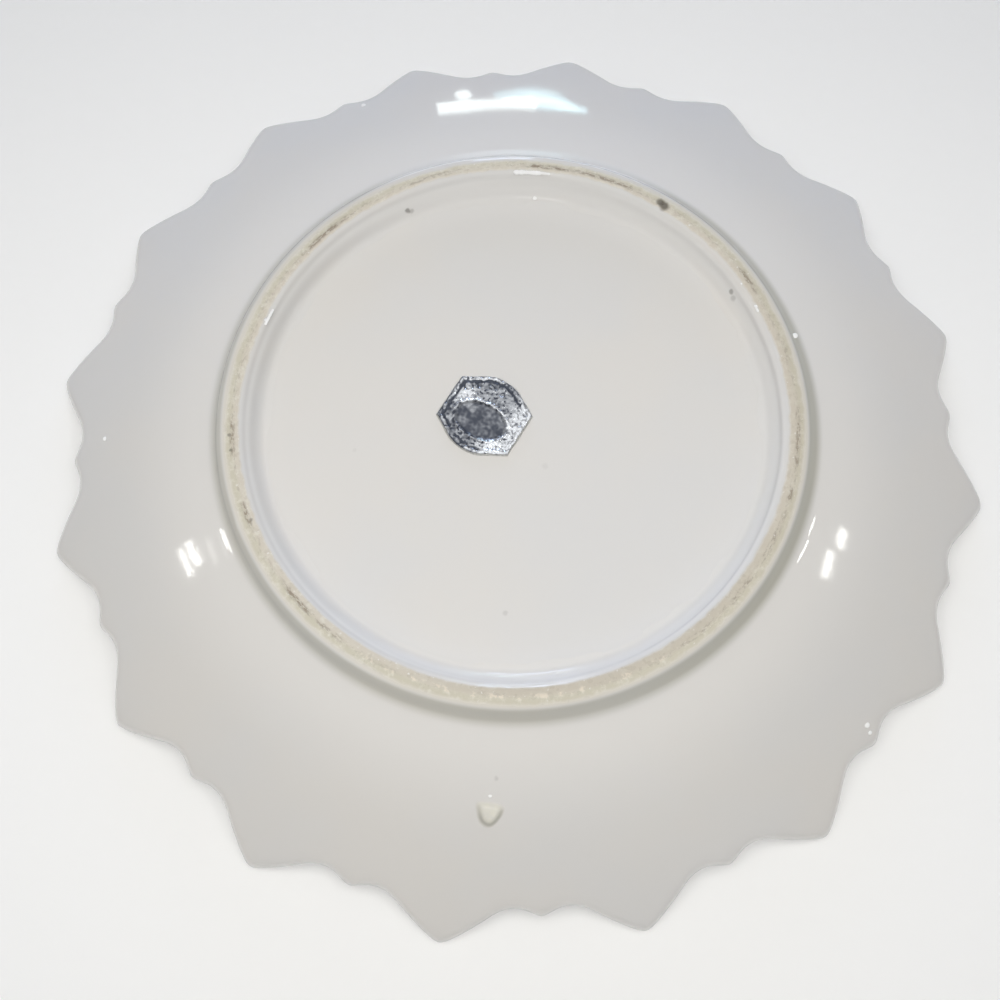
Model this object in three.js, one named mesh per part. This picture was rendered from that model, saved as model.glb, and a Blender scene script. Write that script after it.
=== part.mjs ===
// A porcelain collector plate lying face down, as it is turned over to look at its back.
// Millimetres, +Z up and out of the back. The plate stands on the tips of its rim points at Z = 0,
// and its axis is the Z axis. Every section below is worked out upwards from the seat of the foot
// ring, the flat back of the floor, and the whole plate is lifted onto its points at the end.
import * as THREE from "three";

// Rim outline, seen along the axis: large points with a small bump halfway between each pair
const pointCount = 16;
const pointReach = 101.6; // axis to the tip of a point, half of a nominal 8 inch plate
const pointFlank = 0.7; // how fast the edge falls in beside a point, per millimetre along the rim
const pointRounding = 1.2;
const bumpSetback = 6; // how far the bumps stop short of the points
const bumpFlank = 0.5;
const bumpRounding = 0.7;
const valleyRounding = 4.8; // difference in reach over which a point runs into a bump
const firstPointAngle = 15.2; // degrees from +X

// Floor and flange section
const floorThickness = 4.2;
const shoulderHeight = 1.6; // wall of the shallow recess that locates the foot ring
const flangeRootSlope = 0.26; // fall per millimetre where the flange leaves the shoulder
const flangeFall = 14.2; // from the middle of the flange at its root to the middle of a tip
const edgeThickness = 2.8;
const wellVerge = 5.7; // the flat of the well stops this far inside the recess wall

// Foot ring section
const footHeight = 4.6; // bearing face over the seat
const footInnerWall = 54.2;
const footInnerRound = 0.8;
const footInnerFillet = 2.6;
const footOuterRound = 1.5;
const footOuterFillet = 2.5;
const footWidth = 4.7; // inner wall to outer wall
const footLip = 0.3; // thickness of the fillet's feathered inner edge
const jointGap = 0.3; // room for luting slip round the foot ring and under the pip

// Triangular clay pip that the kiln furniture left fused to the back
const pipSide = 4.4;
const pipHeight = 1.3;
const pipRounding = 0.5;
const pipWayOut = 0.38; // share of the way from the foot ring to the points
const pipAngle = 267.4; // degrees from +X
const pipTurn = 16; // degrees about its own axis

// Foil seal: a hexagon with two opposite corners rounded down to the inscribed circle
const labelInradius = 8.35;
const labelX = -6.1;
const labelY = 0.3;
const labelTurn = -0.7; // degrees from +X to its first sharp corner
const backingThickness = 0.12;
const foilThickness = 0.1;

// Facets
const anglesPerPoint = 12;
const angleCrowding = 0.45; // draws the facets together at the points and the bumps
const flangeSteps = 6;
const edgeSteps = 4;
const footFacets = 96;
const curveSteps = 4;
const labelArcSteps = 10;

const porcelain = new THREE.MeshStandardMaterial({ color: 0xdad7d1, roughness: 0.16, metalness: 0 });
const footPorcelain = new THREE.MeshStandardMaterial({ color: 0xd3cbb8, roughness: 0.4, metalness: 0 });
const biscuitClay = new THREE.MeshStandardMaterial({ color: 0xdedace, roughness: 0.3, metalness: 0 });
const gummedPaper = new THREE.MeshStandardMaterial({ color: 0xe2ddd0, roughness: 0.9, metalness: 0 });
const silverFoil = new THREE.MeshStandardMaterial({ color: 0x9aa0a6, roughness: 0.25, metalness: 1 });

const radians = THREE.MathUtils.degToRad;
const sector = (2 * Math.PI) / pointCount;
const bumpReach = pointReach - bumpSetback;
const footOuterWall = footInnerWall + footWidth;
const footRootRadius = footOuterWall + footOuterFillet;
const shoulderRadius = footRootRadius + jointGap;
const wellRadius = shoulderRadius - wellVerge;
const pipRadius = shoulderRadius + pipWayOut * (pointReach - shoulderRadius);

// A straight-flanked crest with a rounded top, as a reach over the distance from its middle
function crest(distance, reach, flank, rounding) {
  return reach - flank * (Math.hypot(distance, rounding) - rounding);
}

// The larger of two reaches, with the corner between them rounded
function roundedMax(a, b, rounding) {
  const share = Math.max(rounding - Math.abs(a - b), 0) / rounding;
  return Math.max(a, b) + (share * share * rounding) / 4;
}

// Reach of the rim outline at an angle from +X
function rimReach(angle) {
  const turn = angle - radians(firstPointAngle);
  const fromPoint = turn - sector * Math.round(turn / sector);
  const fromBump = sector / 2 - Math.abs(fromPoint);
  const point = crest(pointReach * fromPoint, pointReach, pointFlank, pointRounding);
  const bump = crest(bumpReach * fromBump, bumpReach, bumpFlank, bumpRounding);
  return roundedMax(point, bump, valleyRounding);
}

// Middle height and thickness of the flange at a radius
const flangeMiddle = (shoulderHeight - floorThickness) / 2;
const rootThickness = shoulderHeight + floorThickness;
const flangeLength = pointReach - edgeThickness / 2 - shoulderRadius;
const flangeBend = (flangeFall - flangeRootSlope * flangeLength) / flangeLength ** 2;

function middleHeight(radius) {
  const out = radius - shoulderRadius;
  return flangeMiddle - flangeRootSlope * out - flangeBend * out * out;
}

function flangeThickness(radius) {
  const left = Math.max(1 - (radius - shoulderRadius) / flangeLength, 0);
  return edgeThickness + (rootThickness - edgeThickness) * left * left;
}

function backHeight(radius) {
  return middleHeight(radius) + flangeThickness(radius) / 2;
}

// Angles of the facets, drawn together where the outline turns
function rimAngles() {
  const angles = [];
  for (let i = 0; i < pointCount * anglesPerPoint; i++) {
    const share = (2 * i) / anglesPerPoint;
    const crowded = share - (angleCrowding * Math.sin(2 * Math.PI * share)) / (2 * Math.PI);
    angles.push(radians(firstPointAngle) + (crowded * sector) / 2);
  }
  return angles;
}

// Closed skin through rings of points from one pole on the axis to the other
function skinOfRings(rings, firstPole, lastPole) {
  const count = rings[0].length;
  const points = [firstPole, ...rings.flat(), lastPole];
  const last = points.length - 1;
  const at = (ring, i) => 1 + ring * count + (i % count);
  const triangles = [];
  for (let i = 0; i < count; i++) {
    triangles.push(0, at(0, i), at(0, i + 1));
    for (let ring = 0; ring < rings.length - 1; ring++) {
      triangles.push(at(ring, i), at(ring + 1, i), at(ring + 1, i + 1));
      triangles.push(at(ring, i), at(ring + 1, i + 1), at(ring, i + 1));
    }
    triangles.push(at(rings.length - 1, i), last, at(rings.length - 1, i + 1));
  }
  const skin = new THREE.BufferGeometry().setFromPoints(points);
  skin.setIndex(triangles);
  skin.computeVertexNormals();
  return skin;
}

// The plate: floor, recess for the foot ring, flange and rounded lobed edge in one fired piece
function plateBody() {
  const angles = rimAngles();
  const around = (place) =>
    angles.map((angle) => {
      const [radius, height] = place(angle);
      return new THREE.Vector3(radius * Math.cos(angle), radius * Math.sin(angle), height);
    });
  const edgeCentre = (angle) => rimReach(angle) - edgeThickness / 2;
  const flangeRadius = (angle, share) => shoulderRadius + share * (edgeCentre(angle) - shoulderRadius);
  const side = (share, sign) => (angle) => {
    const radius = flangeRadius(angle, share);
    return [radius, middleHeight(radius) + (sign * flangeThickness(radius)) / 2];
  };

  const rings = [around(() => [shoulderRadius, 0])];
  for (let i = 0; i <= flangeSteps; i++) {
    rings.push(around(side(i / flangeSteps, 1)));
  }
  for (let i = 1; i < edgeSteps; i++) {
    const lean = Math.PI * (0.5 - i / edgeSteps);
    rings.push(
      around((angle) => {
        const radius = edgeCentre(angle) + (edgeThickness / 2) * Math.cos(lean);
        const half = flangeThickness(edgeCentre(angle)) / 2;
        return [radius, middleHeight(radius) + half * Math.sin(lean)];
      }),
    );
  }
  for (let i = flangeSteps; i >= 0; i--) {
    rings.push(around(side(i / flangeSteps, -1)));
  }
  rings.push(around(() => [wellRadius, -floorThickness]));
  return skinOfRings(rings, new THREE.Vector3(0, 0, 0), new THREE.Vector3(0, 0, -floorThickness));
}

// The foot ring: flat under its seat, hollow fillets to floor and flange, flat bearing face between rounds
function footRing() {
  const innerRoot = footInnerWall - footInnerFillet;
  const innerFilletTop = Math.min(footLip + footInnerFillet, footHeight - footInnerRound);
  const outerRise = footHeight - shoulderHeight;
  const outerRoundDrop = Math.min(footOuterRound / 2, outerRise / 3);
  const section = new THREE.Path();
  section.moveTo(innerRoot, 0);
  section.lineTo(footRootRadius, 0);
  section.lineTo(footRootRadius, shoulderHeight);
  section.quadraticCurveTo(footOuterWall, shoulderHeight, footOuterWall, shoulderHeight + outerRise / 2);
  section.lineTo(footOuterWall, footHeight - outerRoundDrop);
  section.quadraticCurveTo(footOuterWall, footHeight, footOuterWall - footOuterRound, footHeight);
  section.lineTo(footInnerWall + footInnerRound, footHeight);
  section.quadraticCurveTo(footInnerWall, footHeight, footInnerWall, footHeight - footInnerRound);
  section.lineTo(footInnerWall, innerFilletTop);
  section.quadraticCurveTo(footInnerWall, footLip, innerRoot, footLip);
  section.lineTo(innerRoot, 0);
  const ring = new THREE.LatheGeometry(section.getPoints(curveSteps), footFacets);
  return ring.rotateX(Math.PI / 2);
}

// The pip: a low triangle with rounded corners and a bevelled top, standing on its base
function kilnPip() {
  const cornerReach = pipSide / Math.sqrt(3) - 2 * pipRounding;
  const outline = new THREE.Shape();
  for (const facing of [0, 120, 240]) {
    const x = cornerReach * Math.cos(radians(facing));
    const y = cornerReach * Math.sin(radians(facing));
    outline.absarc(x, y, pipRounding, radians(facing - 60), radians(facing + 60));
  }
  return new THREE.ExtrudeGeometry(outline, {
    depth: pipHeight - pipRounding,
    bevelEnabled: true,
    bevelThickness: pipRounding / 2,
    bevelSize: pipRounding / 2,
    bevelSegments: 2,
    curveSegments: curveSteps,
  }).translate(0, 0, pipRounding / 2);
}

// One layer of the seal, with its sharp corners in line and its other two corners round
function sealLayer(thickness) {
  const cornerReach = labelInradius / Math.cos(radians(30));
  const outline = new THREE.Shape();
  for (const half of [0, 180]) {
    outline.absarc(0, 0, labelInradius, radians(half + 30), radians(half + 90));
    for (const corner of [half + 120, half + 180]) {
      outline.lineTo(cornerReach * Math.cos(radians(corner)), cornerReach * Math.sin(radians(corner)));
    }
  }
  return new THREE.ExtrudeGeometry(outline, {
    depth: thickness,
    bevelEnabled: false,
    curveSegments: labelArcSteps,
  });
}

function piece(name, geometry, material) {
  const mesh = new THREE.Mesh(geometry, material);
  mesh.name = name;
  return mesh;
}

const plate = new THREE.Group();

const body = piece("plate_body", plateBody(), porcelain);
body.geometry.computeBoundingBox();
plate.add(body);
plate.add(piece("foot_ring", footRing(), footPorcelain));

// The pip stands square on the slope of the flange, on its film of slip
const pipReach = pipSide / 2;
const pipSlope = (backHeight(pipRadius - pipReach) - backHeight(pipRadius + pipReach)) / pipSide;
const outward = new THREE.Vector3(Math.cos(radians(pipAngle)), Math.sin(radians(pipAngle)), 0);
const up = new THREE.Vector3(0, 0, 1);
const pipNormal = up.clone().addScaledVector(outward, pipSlope).normalize();
const pipSeat = new THREE.Group();
pipSeat.position.copy(outward).multiplyScalar(pipRadius).addScaledVector(up, backHeight(pipRadius));
pipSeat.position.addScaledVector(pipNormal, jointGap);
pipSeat.quaternion.setFromUnitVectors(up, pipNormal);
const pip = piece("kiln_pip", kilnPip(), biscuitClay);
pip.rotation.z = radians(pipTurn);
pipSeat.add(pip);
plate.add(pipSeat);

const seal = new THREE.Group();
seal.position.set(labelX, labelY, 0);
seal.rotation.z = radians(labelTurn);
const foil = piece("label_foil", sealLayer(foilThickness), silverFoil);
foil.position.z = backingThickness;
seal.add(piece("label_backing", sealLayer(backingThickness), gummedPaper), foil);
plate.add(seal);

plate.position.z = -body.geometry.boundingBox.min.z;

export default plate;
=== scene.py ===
from math import atan, atan2, ceil, cos, degrees, dist, exp, hypot, pi, radians, sin, tan, tau

import bpy
from mathutils import Matrix, Vector, noise

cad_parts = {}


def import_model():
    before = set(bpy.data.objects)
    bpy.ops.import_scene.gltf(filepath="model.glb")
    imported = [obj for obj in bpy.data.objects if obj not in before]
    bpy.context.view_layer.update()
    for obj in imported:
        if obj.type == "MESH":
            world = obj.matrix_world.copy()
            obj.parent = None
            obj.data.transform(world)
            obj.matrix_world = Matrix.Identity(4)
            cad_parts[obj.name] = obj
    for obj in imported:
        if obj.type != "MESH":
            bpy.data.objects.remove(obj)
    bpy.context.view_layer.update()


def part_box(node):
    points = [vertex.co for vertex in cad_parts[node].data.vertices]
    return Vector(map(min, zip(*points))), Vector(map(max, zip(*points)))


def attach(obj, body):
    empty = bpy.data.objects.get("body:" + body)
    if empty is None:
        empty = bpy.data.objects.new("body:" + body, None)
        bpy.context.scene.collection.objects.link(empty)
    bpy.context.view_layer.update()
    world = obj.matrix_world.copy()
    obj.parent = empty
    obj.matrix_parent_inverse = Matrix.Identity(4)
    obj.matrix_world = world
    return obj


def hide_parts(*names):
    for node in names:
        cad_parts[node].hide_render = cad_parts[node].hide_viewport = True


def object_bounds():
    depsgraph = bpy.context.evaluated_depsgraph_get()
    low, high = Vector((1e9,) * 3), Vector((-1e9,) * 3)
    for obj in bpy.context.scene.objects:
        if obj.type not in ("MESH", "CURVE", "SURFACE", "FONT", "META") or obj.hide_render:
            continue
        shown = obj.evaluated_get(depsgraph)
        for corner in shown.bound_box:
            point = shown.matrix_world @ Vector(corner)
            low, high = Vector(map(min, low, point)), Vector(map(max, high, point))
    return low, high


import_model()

# Boxes of the solids, in metres, in the frame of the part
foot_low, foot_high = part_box("foot_ring")
pip_low, pip_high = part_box("kiln_pip")
backing_low, backing_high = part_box("label_backing")
foil_low, foil_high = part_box("label_foil")

MM = 0.001
PER_MM = 1000.0
FULL_TURN = tau

# Levels: the seat is the back of the plate's floor, the bearing the top of the foot ring
SEAT = foot_low.z
BEARING = foot_high.z

# The lobed rim: 16 points with a small bump between each pair
POINTS = 16
RIM = {
    "Point reach": 101.6 * MM,
    "Point flank": 0.7,
    "Point rounding": 1.2 * MM,
    "Bump reach": 95.6 * MM,
    "Bump flank": 0.5,
    "Bump rounding": 0.7 * MM,
    "Valley rounding": 4.8 * MM,
    "First point": radians(15.2),
}

# Firing left the rim a little out of round: waves in a turn, where the first crest is
OUT_OF_ROUND = 0.4 * MM
RIM_WAVES = (
    (1, radians(-90)),
    (2, radians(-86)),
    (3, radians(114)),
    (4, radians(-103)),
)

# The flange between the foot ring and the rim, and the floor
FLANGE = {
    "Shoulder radius": 61.7 * MM,
    "Shoulder height": 1.6 * MM,
    "Root slope": 0.26,
    "Fall": 14.2 * MM,
    "Edge thickness": 2.8 * MM,
    "Floor thickness": 4.2 * MM,
    "Well radius": 56.0 * MM,
}
GLAZE_WAVES = {"Wave height": 0.035 * MM, "Wave pitch": 70.0}

# The foot ring's section: a drafted inner wall, a flat top, and an outer wall that is round above
# and hollow below
FOOT = {
    "Height": BEARING - SEAT,
    "Inner root": 52.3 * MM,
    "Inner top": 54.5 * MM,
    "Inner fillet": 1.6 * MM,
    "Inner round": 1.1 * MM,
    "Inner ease": 1.6 * MM,
    "Outer top": 57.3 * MM,
    "Crown": 58.6 * MM,
    "Crown drop": 0.22 * MM,
    "Crown slope": 0.5,
    "Wall": 59.6 * MM,
    "Wall drop": 1.2 * MM,
    "Wall slope": 1.35,
    "Hollow": 61.0 * MM,
    "Hollow drop": 2.6 * MM,
    "Hollow slope": 0.45,
    "Outer toe": 63.8 * MM,
    "Unevenness": 0.12 * MM,
    "Off centre": -0.3 * MM,
}

# The ring's edges run out thin into the plate: how far they sink and run, and how deep the ring goes
FOOT_SINK = 0.02 * MM
FOOT_TOE = 2.4 * MM
FOOT_DEPTH = 0.6 * MM
FILLETS_TO_WALL = 1.4
ALONG_FLANGE = "along the flange"

# Its unevenness: lumps in a metre, and how much of them goes across, along and up
FOOT_LUMPS = 90.0
LUMP_SHARES = (1.0, 1.0, 0.25)

# How finely the pieces are turned
STEPS_A_POINT = 64
FOOT_STEPS = 720
SEAM = 0.002 * MM


def sums(operation):
    """How a wire does this sum: with the wire before the other value, and after it."""
    def before(wire, other):
        return wire.sum(operation, wire, other)

    def after(wire, other):
        return wire.sum(operation, other, wire)

    return before, after


class Wire:
    """A socket of a node tree. Sums on it add Math nodes, or Vector Math nodes for vectors."""

    def __init__(self, sheet, socket):
        self.sheet = sheet
        self.socket = socket

    def beside(self, name):
        """Another output of the same node."""
        return Wire(self.sheet, self.socket.node.outputs[name])

    def sum(self, operation, *parts):
        """A Math node on the parts, or a Vector Math node where one of them is a vector."""
        kinds = [part.socket.type for part in parts if isinstance(part, Wire)]
        many = "VECTOR" in kinds or "RGBA" in kinds
        kind = "ShaderNodeVectorMath" if many else "ShaderNodeMath"
        return self.sheet.add(kind, {"operation": operation}, dict(enumerate(parts)))

    __add__, __radd__ = sums("ADD")
    __sub__, __rsub__ = sums("SUBTRACT")
    __mul__, __rmul__ = sums("MULTIPLY")
    __truediv__, __rtruediv__ = sums("DIVIDE")

    def __abs__(self):
        return self.sum("ABSOLUTE", self)


class Sheet:
    """A node tree that is being drawn up, for a shape or for a finish."""

    def __init__(self, tree):
        self.tree = tree

    def add(self, kind, settings=None, sockets=None, out=0):
        """A node of this kind: its settings first, then the values or wires of its sockets."""
        node = self.tree.nodes.new(kind)
        for name, value in (settings or {}).items():
            setattr(node, name, value)
        for key, value in (sockets or {}).items():
            self.feed(node.inputs[key], value)
        return Wire(self, node.outputs[out]) if node.outputs else node

    def feed(self, socket, value):
        """Links a wire to a socket, or sets the socket's own value."""
        if isinstance(value, Wire):
            self.tree.links.new(value.socket, socket)
        elif isinstance(value, list):
            for wire in value:
                self.tree.links.new(wire.socket, socket)
        elif socket.type == "VECTOR" and not hasattr(value, "__len__"):
            socket.default_value = (value, value, value)
        elif socket.type == "RGBA":
            socket.default_value = (*value, 1.0)
        else:
            socket.default_value = value


def most(first, second):
    """The larger of two, for numbers or for wires."""
    if isinstance(first, Wire):
        return first.sum("MAXIMUM", first, second)
    return max(first, second)


def hypotenuse(first, second):
    square = first * first + second * second
    return square.sum("SQRT", square)


def cosine(angle):
    return angle.sum("COSINE", angle)


def sine(angle):
    return angle.sum("SINE", angle)


def length_of(vector):
    return vector.sheet.add("ShaderNodeVectorMath", {"operation": "LENGTH"}, {0: vector}, out=1)


def split(vector):
    """The three parts of a vector."""
    first = vector.sheet.add("ShaderNodeSeparateXYZ", sockets={0: vector})
    return first, first.beside("Y"), first.beside("Z")


def joined(sheet, x=0.0, y=0.0, z=0.0):
    """A vector of three parts, wires or numbers."""
    return sheet.add("ShaderNodeCombineXYZ", sockets={0: x, 1: y, 2: z})


# Shape of the plate. The rules of the flange serve wires and numbers

def crest(size, kind, off):
    """A rounded crest of the rim, at an angle off it. It falls off to both sides at its flanks' slope."""
    reach = size[kind + " reach"]
    rounding = size[kind + " rounding"]
    return reach - size[kind + " flank"] * (hypotenuse(off * reach, rounding) - rounding)


def rounded_most(first, second, rounding):
    """The larger of two reaches, with the valley between them rounded."""
    share = most(rounding - abs(first - second), 0.0) / rounding
    return most(first, second) + share * share * rounding / 4


def rim_reach(size, angle):
    """How far the rim reaches from the axis at an angle."""
    sector = FULL_TURN / POINTS
    past_point = angle - size["First point"] + sector / 2
    from_point = past_point.sum("WRAP", past_point, sector, 0.0) - sector / 2
    from_bump = sector / 2 - abs(from_point)
    point = crest(size, "Point", from_point)
    bump = crest(size, "Bump", from_bump)
    reach = rounded_most(point, bump, size["Valley rounding"])
    for waves, first_crest in RIM_WAVES:
        reach = reach + OUT_OF_ROUND * cosine(waves * angle - first_crest)
    return reach


def flange_length(size):
    """How far the flange runs out from its shoulder."""
    return size["Point reach"] - size["Edge thickness"] / 2 - size["Shoulder radius"]


def flange_middle(size, radius):
    """Height of the flange's middle over the seat."""
    out = radius - size["Shoulder radius"]
    length = flange_length(size)
    bend = (size["Fall"] - size["Root slope"] * length) / (length * length)
    start = (size["Shoulder height"] - size["Floor thickness"]) / 2
    return start - size["Root slope"] * out - bend * out * out


def flange_thickness(size, radius):
    """The flange thins from its root to its edge."""
    left = most(1.0 - (radius - size["Shoulder radius"]) / flange_length(size), 0.0)
    root = size["Shoulder height"] + size["Floor thickness"]
    return size["Edge thickness"] + (root - size["Edge thickness"]) * left * left


def flange_back(size, radius):
    return flange_middle(size, radius) + flange_thickness(size, radius) / 2


def flange_front(size, radius):
    return flange_middle(size, radius) - flange_thickness(size, radius) / 2


def plate_back(x, y):
    """Height of the flange's back over a place in the plan, in metres."""
    return SEAT + flange_back({**RIM, **FLANGE}, hypot(x, y))


# Helpers for shape trees

def shape_sheet(name, sizes):
    """A shape tree with a named input for each size, and those inputs as wires."""
    tree = bpy.data.node_groups.new(name, "GeometryNodeTree")
    tree.interface.new_socket("Mesh", in_out="OUTPUT", socket_type="NodeSocketGeometry")
    tree.interface.new_socket("Mesh", in_out="INPUT", socket_type="NodeSocketGeometry")
    for size, value in sizes.items():
        socket = tree.interface.new_socket(size, in_out="INPUT", socket_type="NodeSocketFloat")
        socket.default_value = value
    sheet = Sheet(tree)
    inputs = sheet.add("NodeGroupInput")
    return sheet, {size: inputs.beside(size) for size in sizes}


def turned_band(sheet, around, stations, section, pale=None):
    """A band turned about the axis. The section gives radius and height at an angle and a share."""
    counts = {"Vertices X": around + 1, "Vertices Y": stations + 1}
    grid = sheet.add("GeometryNodeMeshGrid", sockets=counts)
    across, along = split(sheet.add("GeometryNodeInputPosition"))[:2]
    angle = (across + 0.5) * FULL_TURN
    share = along + 0.5
    # A band may carry a share of painted light, under the name pale
    if pale:
        grid = sheet.add(
            "GeometryNodeStoreNamedAttribute",
            {"data_type": "FLOAT"},
            {"Geometry": grid, "Name": "pale", "Value": pale(share)},
        )
    radius, height = section(angle, share)
    turned = joined(sheet, radius * cosine(angle), radius * sine(angle), height)
    return sheet.add("GeometryNodeSetPosition", sockets={"Geometry": grid, "Position": turned})


def finish_shape(sheet, mesh, finish):
    """Makes the mesh real and smooth, and gives it its finish."""
    mesh = sheet.add("GeometryNodeRealizeInstances", sockets={"Geometry": mesh})
    mesh = sheet.add("GeometryNodeSetShadeSmooth", sockets={"Geometry": mesh})
    mesh = sheet.add("GeometryNodeSetMaterial", sockets={"Geometry": mesh, "Material": finish})
    sheet.add("NodeGroupOutput", sockets={0: mesh})


def close_and_finish(sheet, bands, finish, sway, inside_out=False):
    """Joins the bands into one closed mesh, lets it sway off its true shape, and gives it its finish.
    A section that is drawn clockwise comes out inside out, and is turned."""
    mesh = sheet.add("GeometryNodeJoinGeometry", sockets={"Geometry": bands})
    mesh = sheet.add("GeometryNodeMergeByDistance", sockets={"Geometry": mesh, "Distance": SEAM})
    mesh = sheet.add("GeometryNodeSetPosition", sockets={"Geometry": mesh, "Offset": sway})
    if inside_out:
        mesh = sheet.add("GeometryNodeFlipFaces", sockets={"Mesh": mesh})
    finish_shape(sheet, mesh, finish)


def placed(name, data):
    """A new object in the scene."""
    thing = bpy.data.objects.new(name, data)
    bpy.context.scene.collection.objects.link(thing)
    return thing


def mesh_of_tree(name, tree, start=None):
    """An object with the plain mesh that a shape tree makes from its sizes."""
    worker = placed(name, start or bpy.data.meshes.new(name + "_start"))
    modifier = worker.modifiers.new("shape", "NODES")
    modifier.node_group = tree
    made = worker.evaluated_get(bpy.context.evaluated_depsgraph_get())
    worker.data = bpy.data.meshes.new_from_object(made)
    worker.data.name = name
    worker.modifiers.remove(modifier)
    return worker


def mesh_of_points(name, points, faces, finish):
    """An object with a smooth mesh of these points and faces."""
    mesh = bpy.data.meshes.new(name)
    mesh.from_pydata(points, [], faces)
    mesh.polygons.foreach_set("use_smooth", [True] * len(mesh.polygons))
    mesh.materials.append(finish)
    mesh.update()
    return placed(name, mesh)


def carry(mesh, name, values):
    """Lets each point of a mesh carry a value under this name."""
    mesh.attributes.new(name, "FLOAT", "POINT").data.foreach_set("value", values)


def disc_places(around, rings, outline):
    """The places on a disc with this outline, ring by ring: share of the way out, angle, x and y."""
    for ring in range(1, rings + 1):
        share = ring / rings
        for step in range(around):
            angle = FULL_TURN * step / around
            reach = share * outline(angle)
            yield share, angle, reach * cos(angle), reach * sin(angle)


def disc_faces(around, rings):
    """Faces of a disc, seen from above: rings of points round the first point."""
    faces = [(0, 1 + step, 1 + (step + 1) % around) for step in range(around)]
    for ring in range(rings - 1):
        inner = 1 + ring * around
        outer = inner + around
        for step in range(around):
            beside = (step + 1) % around
            faces.append((inner + step, outer + step, outer + beside, inner + beside))
    return faces


def under_faces(middle, first, around):
    """Faces of a disc's underside: from its middle to a ring that starts at the first point."""
    return [(middle, first + (step + 1) % around, first + step) for step in range(around)]


# Helpers for finishes

def finish_sheet(name):
    """A new finish: its material, its shader and the place on the piece in millimetres."""
    material = bpy.data.materials.new(name)
    material.use_nodes = True
    material.node_tree.nodes.clear()
    sheet = Sheet(material.node_tree)
    shader = sheet.add("ShaderNodeBsdfPrincipled")
    sheet.add("ShaderNodeOutputMaterial", sockets={"Surface": shader})
    place = sheet.add("ShaderNodeTexCoord", out="Object") * PER_MM
    return material, shader.socket.node, place


def clouds(place, pitch, detail=2.0, roughness=0.5):
    """Soft noise from 0 to 1 with lumps about as wide as the pitch, in millimetres."""
    return place.sheet.add(
        "ShaderNodeTexNoise",
        sockets={"Vector": place, "Scale": 1.0 / pitch, "Detail": detail, "Roughness": roughness},
    )


def ease(value, low, high):
    """0 below low, 1 above high, and a smooth rise between them."""
    return value.sheet.add(
        "ShaderNodeMapRange",
        {"interpolation_type": "SMOOTHSTEP"},
        {0: value, 1: low, 2: high},
    )


def blend(share, first, second):
    """From the first colour to the second as the share goes from 0 to 1."""
    return share.sheet.add("ShaderNodeMix", {"data_type": "RGBA"}, {0: share, 6: first, 7: second}, out=2)


def band(inner, limits, outer=None):
    """1 between two radii and 0 outside them. The outer edge may follow a radius of its own."""
    start, full, fading, end = limits
    outer = inner if outer is None else outer
    return ease(inner, start, full) * (1.0 - ease(outer, fading, end))


def plan_radius(place):
    return length_of(place * (1.0, 1.0, 0.0))


def spot(place, centre, reach):
    """1 at a place on the piece, fading to 0 at its reach, in millimetres."""
    return 1.0 - ease(length_of(place - centre), 0.35 * reach, reach)


def bumped(height, strength, distance):
    """A normal roughened by a height that runs from 0 to 1."""
    return height.sheet.add(
        "ShaderNodeBump", sockets={"Height": height, "Strength": strength, "Distance": distance}
    )


def carried(place, name):
    """The value that the points of the mesh carry under this name."""
    return place.sheet.add("ShaderNodeAttribute", {"attribute_name": name}, out="Fac")


def dress(shader, colour, roughness, normal=None):
    """Wires a finish up to its shader."""
    colour.sheet.feed(shader.inputs["Base Color"], colour)
    colour.sheet.feed(shader.inputs["Roughness"], roughness)
    if normal:
        colour.sheet.feed(shader.inputs["Normal"], normal)


# Finishes

WARM_WHITE = (0.725, 0.706, 0.675)
COOL_WHITE = (0.708, 0.700, 0.685)
# The next three whites are painted light: on the rim edge, far wall and bearing glints, on the inner wall,
# and at the flange root
PAINTED_LIGHT_WHITE = (0.86, 0.85, 0.83)
WALL_PAINTED_LIGHT = (0.83, 0.82, 0.80)
ROOT_PAINTED_LIGHT = (0.765, 0.75, 0.725)
# Grey of glaze pooling in the cove, with painted shade
POOLED_GREY_AND_SHADE = (0.41, 0.40, 0.325)
BEVEL_CREAM = (0.69, 0.655, 0.58)
INNER_CREAM = (0.64, 0.59, 0.50)
OUTER_CREAM = (0.60, 0.565, 0.455)
PALE_CREAM = (0.72, 0.69, 0.60)
DARKER_CREAM = (0.50, 0.45, 0.36)
# Cream of painted glints on the near side
NEAR_GLINT_CREAM = (0.86, 0.76, 0.62)
BROWN_DIRT = (0.22, 0.165, 0.115)
IRON_SPECK = (0.10, 0.085, 0.065)
CLAY_CREAM = (0.80, 0.78, 0.69)
CLAY_PALE = (0.76, 0.745, 0.68)
CLAY_SHADOW = (0.45, 0.44, 0.39)
BEAD_WHITE = (0.90, 0.90, 0.90)
BEAD_BRIGHT = (0.96, 0.96, 0.95)
PAPER_RUBBED = (0.42, 0.42, 0.41)
PAPER_WHITE = (0.70, 0.69, 0.66)
FOIL_BRIGHT = (0.90, 0.93, 0.96)
FOIL_DULL = (0.10, 0.11, 0.135)
GLAZE_IOR = 1.5

# Bands of colour, in millimetres from the axis: where each starts, is full, fades and ends
FLANGE_ROOT = (58.0, 62.0, 64.0, 84.0)
INNER_WALL = (51.6, 53.2, 53.7, 54.5)
BARE_FACE = (54.7, 55.4, 57.2, 58.1)
BEVEL = (56.8, 57.6, 58.1, 58.8)
COVE = (58.2, 59.2, 60.4, 62.4)
FAR_WALL = (58.4, 59.0, 60.2, 61.0)
FAR_COVE = (59.4, 60.6, 62.2, 63.6)

# Radii between which one colour turns into the next, and the circle that dirt gathers on
TOE = (60.5, 63.0)
CREAM_CHANGE = (55.9, 57.0)
NEAR_RIGHT_DARK_END = (55.8, 56.8)
DIRT_CIRCLE = 56.4

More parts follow.
